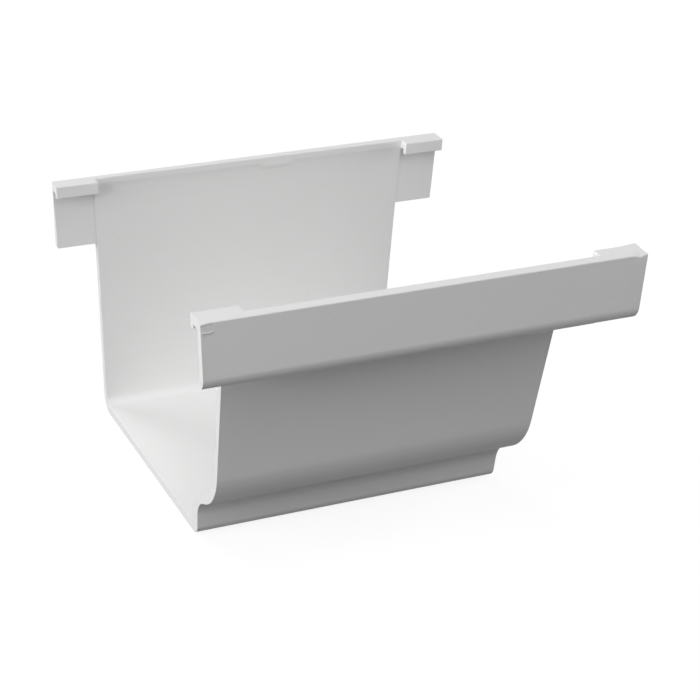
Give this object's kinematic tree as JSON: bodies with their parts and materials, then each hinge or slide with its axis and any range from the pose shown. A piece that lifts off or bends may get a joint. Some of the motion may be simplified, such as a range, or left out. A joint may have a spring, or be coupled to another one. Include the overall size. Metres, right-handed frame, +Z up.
{
  "type": "gutter connector",
  "caption": "Moulded white trough with an ogee front, flat floor and upright back; hooked ears at each end grip the rims of two gutter lengths and join them end to end.",
  "frame": {"origin": "on the underside of the flat floor, centred along the gutter and between the front band and the back face", "axes": "+X along the gutter, +Y from the ogee front to the flat back that faces the fascia, +Z up"},
  "size_m": [0.143, 0.1406, 0.1],
  "materials": {
    "white_vinyl": "white moulded vinyl, satin"
  },
  "bodies": {
    "root": {"connector": "white_vinyl"}
  },
  "joints": []
}
